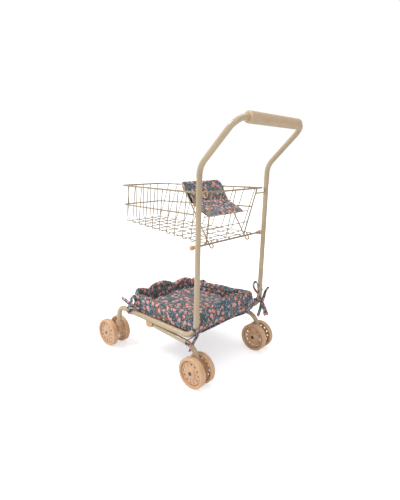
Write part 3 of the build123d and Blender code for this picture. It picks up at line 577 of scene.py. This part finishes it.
def pad(name, lo, hi, round_r, crown, dip, material, seed, amount, narrow=0.0, step=0.005):
    """Closed pad between two corners: rounded outline, crowned top, tucked edges and soft wrinkles.
    narrow draws its right edge in towards the rear."""
    nx = max(6, round((hi.x - lo.x) / step))
    ny = max(6, round((hi.y - lo.y) / step))
    thick = hi.z - lo.z
    cx, cy = (lo.x + hi.x) / 2, (lo.y + hi.y) / 2
    hx, hy = (hi.x - lo.x) / 2, (hi.y - lo.y) / 2
    pts, flat, quads = [], [], []

    def spread(t):
        """Grid places crowded towards the edges."""
        return math.sin(t * math.pi / 2) * 0.55 + t * 0.45

    def surface(i, j, side):
        u, v = spread(2 * i / nx - 1), spread(2 * j / ny - 1)
        x, y = u * hx, v * hy
        ax, ay = max(0.0, abs(x) - (hx - round_r)), max(0.0, abs(y) - (hy - round_r))
        if ax > 0 and ay > 0:
            longer = max(ax, ay)
            scale = longer / math.hypot(ax, ay)
            x = math.copysign(hx - round_r + ax * scale, x)
            y = math.copysign(hy - round_r + ay * scale, y)
            ax, ay = ax * scale, ay * scale
        inset = round_r - math.hypot(ax, ay) if ax > 0 and ay > 0 else min(hx - abs(x), hy - abs(y))
        inset = max(0.0, inset)
        edge = thick * 0.5
        rise = math.sqrt(max(0.0, 1 - (1 - min(1.0, inset / edge)) ** 2))
        z = side * thick / 2 * rise
        if side > 0:
            z += crown * (1 - u * u) * (1 - v * v) * rise
            z += amount * wrinkle((x, y, 0), 0.045, seed) * rise
            z += amount * 0.5 * wrinkle((x, y, 0), 0.017, seed + 1) * rise
            z -= dip * math.exp(-((inset - 0.010) / 0.0030) ** 2)
        if x < 0:
            x *= 1 - narrow * (0.4 + smooth(-0.04, 0.05, y))
        rise_up = lift(x, cy + y) * (1.0 if side < 0 else 0.9)
        return Vector((cx + x, cy + y, (lo.z + hi.z) / 2 + z + rise_up))

    index = {}
    for side in (1, -1):
        for i in range(nx + 1):
            for j in range(ny + 1):
                on_rim = i in (0, nx) or j in (0, ny)
                key = (i, j, 0 if on_rim else side)
                if key in index:
                    continue
                index[key] = len(pts)
                q = surface(i, j, side)
                pts.append(q)
                flat.append((q.x + (0.5 if side < 0 else 0.0), q.y))

    def find(i, j, side):
        return index[(i, j, 0 if (i in (0, nx) or j in (0, ny)) else side)]

    for i in range(nx):
        for j in range(ny):
            top = (find(i, j, 1), find(i + 1, j, 1), find(i + 1, j + 1, 1), find(i, j + 1, 1))
            quads.append(top)
            under = (find(i, j + 1, -1), find(i + 1, j + 1, -1), find(i + 1, j, -1), find(i, j, -1))
            quads.append(under)
    made = mesh_object(name, pts, quads, material, flat)
    if dip > 0:
        rim = [index[key] for key in index if key[2] == 0 or key[2] < 0]
        swell(made, rim, 3.0, 0.004, 0.05)
    subdivide(made)
    return made


lo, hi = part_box("tray_mattress")
mattress = pad("tray_mattress_pad", lo, hi, 0.022, 0.002, 0.0012, print_cloth, 11, 0.0020, 0.06)
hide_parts("tray_mattress")
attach(mattress, "frame")

lo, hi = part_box("tray_floor")
base_pad = pad("tray_base_pad", lo, hi, 0.030, 0.0, 0.0, print_cloth, 21, 0.0004)
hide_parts("tray_floor")
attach(base_pad, "frame")


# ---------------------------------------------------------------- seat covers
lean = math.radians(33.8)
up = Vector((0, -math.sin(lean), math.cos(lean)))
rear = Vector((0, math.cos(lean), math.sin(lean)))
rod_axis = Vector((0, 0.10825, 0.330))
hook = 0.00475


def sleeve(
    name, origin, along, normal, width, start, end, thick, wall, seed, round_top, material, inner, taper=0.0
):
    """Open-ended fabric sleeve round a wire: two layers that meet at both long edges, open left and right.
    taper is how much narrower it gets towards its start."""
    nx = 40
    side_steps = 16
    pts, flat, quads = [], [], []

    def outline(u, inset):
        """Closed cross-section at the share u of the width, -1 to 1."""
        top = end
        drop = 0.0
        edge = abs(u) * width
        if edge > width - round_top:
            d = edge - (width - round_top)
            drop = round_top - math.sqrt(max(0.0, round_top * round_top - d * d))
        made = []
        length = top - drop - start
        for k in range(2 * side_steps):
            a = 2 * math.pi * k / (2 * side_steps)
            c, s = math.cos(a), math.sin(a)
            v = (1 + math.copysign(abs(c) ** 0.55, c)) / 2
            w = math.copysign(abs(s) ** 0.75, s)
            belly = 0.72 + 0.28 * abs(u) ** 3
            half_t = thick / 2 * belly - inset
            made.append((start + inset + (length - 2 * inset) * v, w * half_t))
        return made

    for inset in (0.0, wall):
        for i in range(nx + 1):
            u = 2 * i / nx - 1
            shape = outline(u, inset)
            walk = 0.0
            for k, (v, w) in enumerate(shape):
                if k:
                    walk += math.hypot(v - shape[k - 1][0], w - shape[k - 1][1])
                on_cloth = (u * width, v, w)
                bend = 0.0007 * wrinkle(on_cloth, 0.022, seed) + 0.0004 * wrinkle(on_cloth, 0.010, seed + 1)
                across = u * (width - taper * (1 - (v - start) / (end - start)))
                p = origin + Vector((across, 0, 0)) + along * v + normal * (w + bend)
                pts.append(p)
                flat.append((u * width + seed * 0.37, walk))
    ring_n = 2 * side_steps
    layer_n = (nx + 1) * ring_n
    for i in range(nx):
        for k in range(ring_n):
            m = (k + 1) % ring_n
            a, b, c, d = i * ring_n + k, (i + 1) * ring_n + k, (i + 1) * ring_n + m, i * ring_n + m
            quads.append((a, b, c, d))
            quads.append((layer_n + d, layer_n + c, layer_n + b, layer_n + a))
    for i, flip in ((0, False), (nx, True)):
        for k in range(ring_n):
            m = (k + 1) % ring_n
            quad = (i * ring_n + k, i * ring_n + m, layer_n + i * ring_n + m, layer_n + i * ring_n + k)
            quads.append(tuple(reversed(quad)) if flip else quad)
    made = mesh_object(name, pts, quads, material, flat)
    # the inner layer takes the near-black cloth, painted shade for the inside of the sleeve
    made.data.materials.append(inner)
    for f, face in enumerate(made.data.polygons):
        if f < 2 * nx * ring_n and f % 2 == 1:
            face.material_index = 1
    subdivide(made)
    return made


back_cover = sleeve(
    "seat_back_sleeve",
    rod_axis - rear * hook,
    up,
    rear,
    width=0.075,
    start=0.1056,
    end=0.1655,
    thick=0.0085,
    wall=0.0009,
    seed=31,
    round_top=0.013,
    material=print_cloth,
    inner=shade_lining,
    taper=0.010,
)
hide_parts("seat_back_cover")
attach(back_cover, "seat_back")

drop_angle = math.radians(24.0)
pan_run = Vector((0, math.cos(drop_angle), -math.sin(drop_angle)))
pan_normal = Vector((0, math.sin(drop_angle), math.cos(drop_angle)))
bar = Vector((0, 0.051057, 0.412774))
pan_cover = sleeve(
    "seat_pan_sleeve",
    bar,
    pan_run,
    pan_normal,
    width=0.067,
    start=0.0055,
    end=0.0546,
    thick=0.0065,
    wall=0.0009,
    seed=41,
    round_top=0.005,
    material=print_cloth,
    inner=shade_lining,
)
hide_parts("seat_pan_cover")
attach(pan_cover, "seat_pan")


# ---------------------------------------------------------------- ribbons
def curve_points(controls, count):
    """Smooth open curve through control points, evenly sampled (Catmull-Rom)."""
    pts = [Vector(c) for c in controls]
    pts = [pts[0] * 2 - pts[1]] + pts + [pts[-1] * 2 - pts[-2]]
    dense = []
    for i in range(1, len(pts) - 2):
        a, b, c, d = pts[i - 1], pts[i], pts[i + 1], pts[i + 2]
        for k in range(24):
            t = k / 24
            square = 2 * a - 5 * b + 4 * c - d
            cube = 3 * b - a - 3 * c + d
            dense.append(0.5 * ((2 * b) + (c - a) * t + square * t * t + cube * t ** 3))
    dense.append(pts[-2])
    lengths = [0.0]
    for i in range(1, len(dense)):
        lengths.append(lengths[-1] + (dense[i] - dense[i - 1]).length)
    made, j = [], 0
    for k in range(count):
        goal = lengths[-1] * k / (count - 1)
        while j < len(lengths) - 2 and lengths[j + 1] < goal:
            j += 1
        t = (goal - lengths[j]) / max(1e-9, lengths[j + 1] - lengths[j])
        made.append(dense[j].lerp(dense[j + 1], min(1.0, max(0.0, t))))
    return made, lengths[-1]


def ribbon_strip(controls, width_dirs, width, seed, points, cloth, faces, taper_end=False):
    """Adds a flat ribbon with real thickness along the controls; width_dirs turn from first to last."""
    count = max(8, 6 * len(controls))
    line, total = curve_points(controls, count)
    thick = 0.0007
    across_n = 4
    base = len(points)
    for i, p in enumerate(line):
        t = i / (count - 1)
        a, b = line[max(0, i - 1)], line[min(count - 1, i + 1)]
        run = (b - a).normalized()
        s = t * (len(width_dirs) - 1)
        k = min(len(width_dirs) - 2, int(s))
        across = Vector(width_dirs[k]).lerp(Vector(width_dirs[k + 1]), s - k)
        across = (across - run * across.dot(run)).normalized()
        face_n = run.cross(across).normalized()
        half = width / 2
        slant = 0.5 * width * smooth(0.94, 1.0, t) if taper_end else 0.0
        for side in (1, -1):
            for m in range(across_n + 1):
                u = 2 * m / across_n - 1
                curl = 0.0009 * u * u + 0.0005 * wrinkle((t * 9, u, 0), 0.8, seed)
                q = p + across * (u * half) + face_n * (side * thick / 2 + curl) - run * (slant * (u + 1) / 2)
                points.append(q)
                cloth.append((u * half + seed * 0.21, t * total))
    row = 2 * (across_n + 1)
    for i in range(count - 1):
        for m in range(across_n):
            a = base + i * row + m
            faces.append((a, a + 1, a + 1 + row, a + row))
            b = a + across_n + 1
            faces.append((b + row, b + 1 + row, b + 1, b))
        for m in (0, across_n):
            a = base + i * row + m
            b = a + across_n + 1
            quad = (a, a + row, b + row, b)
            faces.append(quad if m == 0 else tuple(reversed(quad)))
    for i, flip in ((0, False), (count - 1, True)):
        for m in range(across_n):
            a = base + i * row + m
            b = a + across_n + 1
            quad = (a, b, b + 1, a + 1)
            faces.append(quad if not flip else tuple(reversed(quad)))


def knot(centre, size, seed, points, cloth, faces):
    """Small pulled knot, a wrapped lump with pinched ends."""
    base = len(points)
    rings, around = 9, 14
    for i in range(rings + 1):
        t = math.pi * i / rings
        for k in range(around):
            a = 2 * math.pi * k / around
            r = math.sin(t) * (1 + 0.12 * math.cos(3 * a + seed) + 0.08 * math.sin(5 * a))
            p = Vector((math.cos(a) * r * size[0], math.sin(a) * r * size[1], math.cos(t) * size[2]))
            points.append(Vector(centre) + p)
            cloth.append((a * size[0] + seed, math.cos(t) * size[2]))
    for i in range(rings):
        for k in range(around):
            m = (k + 1) % around
            a, b = base + i * around + k, base + i * around + m
            faces.append((a, b, b + around, a + around))


def band(centre, axis, radius, width, points, cloth, faces, seed):
    """Ribbon wound once round a tube."""
    axis = Vector(axis).normalized()
    side = axis.orthogonal().normalized()
    third = axis.cross(side)
    around, rows = 40, 5
    thick = 0.0009
    base = len(points)
    section = []
    for m in range(rows):
        u = 2 * m / (rows - 1) - 1
        section.append((u * width / 2, thick / 2 + 0.0003 * math.cos(u * 2.2)))
    for m in range(rows):
        u = 1 - 2 * m / (rows - 1)
        section.append((u * width / 2, -thick / 2))
    for k in range(around):
        a = 2 * math.pi * k / around
        out = side * math.cos(a) + third * math.sin(a)
        for u, off in section:
            sway = 0.0005 * wrinkle((math.cos(a), math.sin(a), 0), 0.6, seed)
            points.append(Vector(centre) + axis * (u + sway) + out * (radius + off + thick / 2))
            cloth.append((a * radius + seed, u))
    per_ring = len(section)
    for k in range(around):
        m = (k + 1) % around
        for j in range(per_ring):
            n = (j + 1) % per_ring
            here, there = base + k * per_ring, base + m * per_ring
            faces.append((here + j, there + j, there + n, here + n))


def bow(name, node, knot_at, knot_size, winding, strips, seed):
    points, cloth, faces = [], [], []
    if winding is not None:
        band(*winding, points, cloth, faces, seed)
    knot(knot_at, knot_size, seed, points, cloth, faces)
    for n, (controls, dirs, width, tail) in enumerate(strips):
        ribbon_strip(controls, dirs, width, seed + n, points, cloth, faces, tail)
    made = mesh_object(name, points, faces, print_cloth, cloth)
    subdivide(made)
    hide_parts(node)
    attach(made, "frame")
    return made


# The covers are joined across the fold by a strip of the same cloth.
strip_points, strip_cloth, strip_faces = [], [], []
fold_start = rod_axis + up * 0.1090 + rear * -0.0008
fold_end = bar + pan_run * 0.0085 + pan_normal * 0.0030
fold_path = [
    fold_start,
    rod_axis + up * 0.1045 + rear * 0.0012,
    bar + pan_normal * 0.0033 + pan_run * 0.0020,
    fold_end,
]
ribbon_strip(fold_path, [(1, 0, 0), (1, 0, 0)], 0.121, 71, strip_points, strip_cloth, strip_faces)
seat_fold = mesh_object("seat_cover_fold", strip_points, strip_faces, print_cloth, strip_cloth)
subdivide(seat_fold)
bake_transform(seat_fold)


def mm(x, y, z):
    return Vector((x, y, z)) * MM


rear_left = Vector((0.66, 0.73, 0.17)).normalized()


def turned_out(controls, shares):
    """Width directions along the controls, turned from edge-on (0) to flat (1) towards the rear left."""
    made = []
    for i in range(len(controls)):
        run = (controls[min(i + 1, len(controls) - 1)] - controls[max(i - 1, 0)]).normalized()
        share = lerp(shares[0], shares[1], i / (len(controls) - 1))
        made.append(rear_left * math.sqrt(1 - share * share) + run.cross(rear_left).normalized() * share)
    return made


# Both front ties look alike: a loop that stands up, a tail that points forward, and a band round the rail.
for side, sx in (("left", 1), ("right", -1)):

    def rise(z):
        """The right tie stands lower than the left one, out of sight behind the tray."""
        return z if sx > 0 else 137 + (z - 137) * 0.2

    loop = [
        mm(sx * 137, -103, 137),
        mm(sx * 138.5, -101, rise(149)),
        mm(sx * 139.5, -97, rise(161)),
        mm(sx * 139, -91, rise(167)),
        mm(sx * 138, -85, rise(165)),
        mm(sx * 137, -82, rise(157)),
        mm(sx * 136.5, -85, rise(147)),
        mm(sx * 136.5, -95, 139),
    ]
    leaf = [
        mm(sx * 137, -104, 138),
        mm(sx * 138.5, -113, rise(143)),
        mm(sx * 139.5, -126, rise(147)),
        mm(sx * 140, -140, rise(151)),
    ]
    hanging = [
        mm(sx * 137, -104, 136),
        mm(sx * 139.2, -110, 130),
        mm(sx * 139.4, -112, 121),
        mm(sx * 137.6, -111, 111),
    ]
    strips = [
        (loop, turned_out(loop, (0.75, 0.75)), 0.0110, False),
        (leaf, turned_out(leaf, (0.95, 0.7)), 0.0125, True),
        (hanging, [(0, 1, 0), (0, 1, 0.2), (0, 1, 0)], 0.0110, False),
        ([mm(sx * 135.5, -101, 136), mm(sx * 131, -92, 133), mm(sx * 126.5, -78, 131.5)],
         [(0, 0, 1), (0, 0, 1), (0, 0, 1)], 0.0090, False),
    ]
    at = mm(sx * 137, -103.5, 137)
    winding = (mm(sx * 130, -108, 117), (0, 1, 0), 0.0072, 0.0075)
    size = (0.0048, 0.0062, 0.0058)
    seed = 61 if sx > 0 else 67
    bow(f"front_{side}_bow", f"front_{side}_ribbon", at, size, winding, strips, seed)

# The rear left tie hangs down: a three-cornered loop and one long tail.
loop = [
    mm(131, 130, 138),
    mm(135.5, 127, 131),
    mm(139, 115, 119),
    mm(141, 102, 109),
    mm(141, 105, 102),
    mm(140.5, 117, 105),
    mm(139.5, 124, 116),
    mm(136.5, 130, 130),
    mm(132, 131, 138),
]
tail = [mm(131, 131, 138), mm(137, 133, 129), mm(140.5, 127, 115), mm(141.5, 119, 98), mm(141, 113, 84)]
strips = [
    (loop, turned_out(loop, (0.6, 0.45)), 0.0090, False),
    (tail, turned_out(tail, (0.7, 0.65)), 0.0105, True),
    ([mm(130.5, 129, 141), mm(126, 126, 143.5), mm(120, 118.5, 145), mm(112, 113, 146)],
     [(0, 0, 1), (0, 0, 1), (0, 0, 1)], 0.0095, False),
]
band_dir = (0, 0.375, 0.927)
winding = (mm(130, 119.05, 142), band_dir, 0.0072, 0.0075)
at = mm(130.8, 129.6, 139.8)
bow("rear_left_bow", "rear_left_ribbon", at, (0.0062, 0.0048, 0.0062), winding, strips, 51)

# The rear right tie has a tall thin loop inside the post, a leaf outside it, and two spread tails.
loop = [
    mm(-131, 129, 138),
    mm(-122, 126, 156),
    mm(-110, 121, 173),
    mm(-103, 118, 187),
    mm(-106, 118, 196),
    mm(-115, 120, 197),
    mm(-119.5, 122, 187),
    mm(-121, 124, 170),
    mm(-123, 126, 154),
    mm(-130, 130, 140),
]
leaf = [
    mm(-132, 130, 139),
    mm(-136, 132, 150),
    mm(-138, 133, 160),
    mm(-142, 133, 167),
    mm(-150, 133, 172),
    mm(-159, 132, 177),
]
short_tail = [mm(-131, 130, 137), mm(-127, 132, 128), mm(-122, 132, 116), mm(-112.5, 132, 98)]
wide_tail = [mm(-132, 130, 137), mm(-138, 132, 125), mm(-147, 133, 108), mm(-158, 132, 87)]
strips = [
    (loop, turned_out(loop, (0.6, 0.6)), 0.0085, False),
    (leaf, turned_out(leaf, (0.9, 0.15)), 0.0100, True),
    (short_tail, turned_out(short_tail, (0.95, 0.9)), 0.0110, True),
    (wide_tail, turned_out(wide_tail, (0.8, 1.0)), 0.0150, True),
    ([mm(-131, 129, 139), mm(-126.5, 125, 141), mm(-122, 117, 142), mm(-116, 112.5, 144)],
     [(0, 0, 1), (0, 0, 1), (0, 0, 1)], 0.0090, False),
]
winding = (mm(-130, 119.05, 142), band_dir, 0.0072, 0.0075)
at = mm(-131.2, 129.6, 138.5)
bow("rear_right_bow", "rear_right_ribbon", at, (0.0062, 0.0046, 0.0062), winding, strips, 57)
